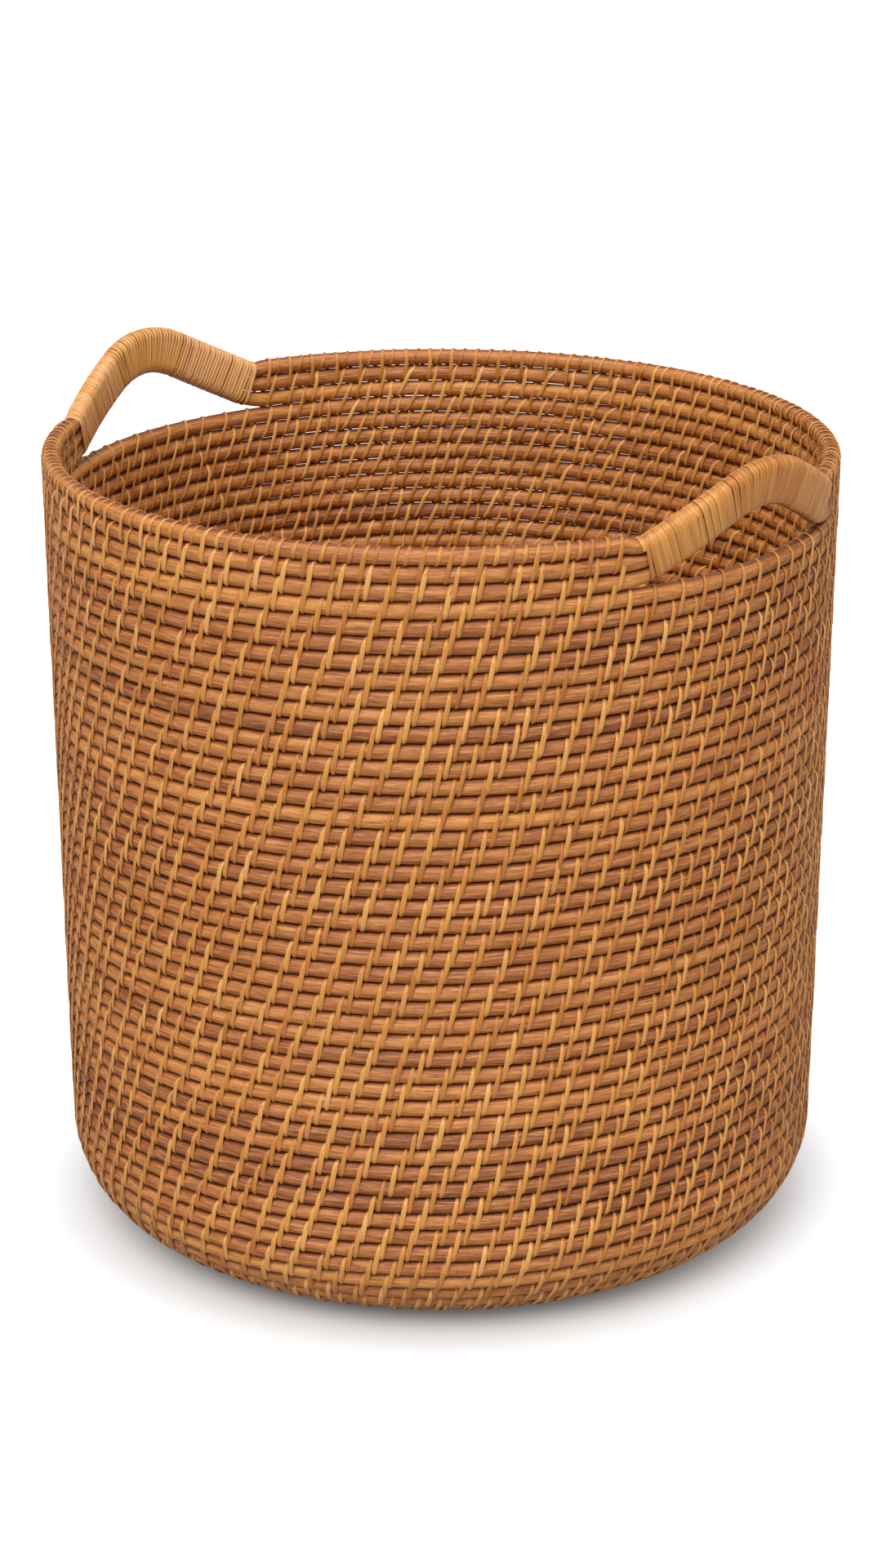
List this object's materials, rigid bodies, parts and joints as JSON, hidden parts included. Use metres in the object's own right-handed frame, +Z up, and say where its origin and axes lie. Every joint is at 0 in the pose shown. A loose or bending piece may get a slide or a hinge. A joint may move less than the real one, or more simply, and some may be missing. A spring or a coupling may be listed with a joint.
{
  "type": "coiled laundry basket",
  "caption": "Round coiled rattan laundry basket: hoops of rattan core lashed with split cane over a flat coiled base, with two cane-bound arched handles raised from the rim.",
  "frame": {"origin": "under the middle of the base, on the surface that the basket stands on", "axes": "+Z up along the basket's axis, one handle at the +X side and one at the -X side"},
  "size_m": [0.4292, 0.4196, 0.4588],
  "materials": {
    "rattan_core": "satin",
    "split_cane": "satin"
  },
  "bodies": {
    "root": {"base_coil_1": "rattan_core", "base_coil_2": "rattan_core", "base_coil_3": "rattan_core", "corner_hoop_01": "rattan_core", "corner_hoop_02": "rattan_core", "corner_hoop_03": "rattan_core", "corner_hoop_04": "rattan_core", "corner_hoop_05": "rattan_core", "corner_hoop_06": "rattan_core", "corner_hoop_07": "rattan_core", "corner_hoop_08": "rattan_core", "handle_binding_left": "split_cane", "handle_binding_right": "split_cane", "handle_hoop_47": "rattan_core", "handle_hoop_48": "rattan_core", "rim_hoop": "rattan_core", "wall_hoop_09": "rattan_core", "wall_hoop_10": "rattan_core", "wall_hoop_11": "rattan_core", "wall_hoop_12": "rattan_core", "wall_hoop_13": "rattan_core", "wall_hoop_14": "rattan_core", "wall_hoop_15": "rattan_core", "wall_hoop_16": "rattan_core", "wall_hoop_17": "rattan_core", "wall_hoop_18": "rattan_core", "wall_hoop_19": "rattan_core", "wall_hoop_20": "rattan_core", "wall_hoop_21": "rattan_core", "wall_hoop_22": "rattan_core", "wall_hoop_23": "rattan_core", "wall_hoop_24": "rattan_core", "wall_hoop_25": "rattan_core", "wall_hoop_26": "rattan_core", "wall_hoop_27": "rattan_core", "wall_hoop_28": "rattan_core", "wall_hoop_29": "rattan_core", "wall_hoop_30": "rattan_core", "wall_hoop_31": "rattan_core", "wall_hoop_32": "rattan_core", "wall_hoop_33": "rattan_core", "wall_hoop_34": "rattan_core", "wall_hoop_35": "rattan_core", "wall_hoop_36": "rattan_core", "wall_hoop_37": "rattan_core", "wall_hoop_38": "rattan_core", "wall_hoop_39": "rattan_core", "wall_hoop_40": "rattan_core", "wall_hoop_41": "rattan_core", "wall_hoop_42": "rattan_core", "wall_hoop_43": "rattan_core", "wall_hoop_44": "rattan_core", "wall_hoop_45": "rattan_core", "wall_hoop_46": "rattan_core"}
  },
  "joints": []
}
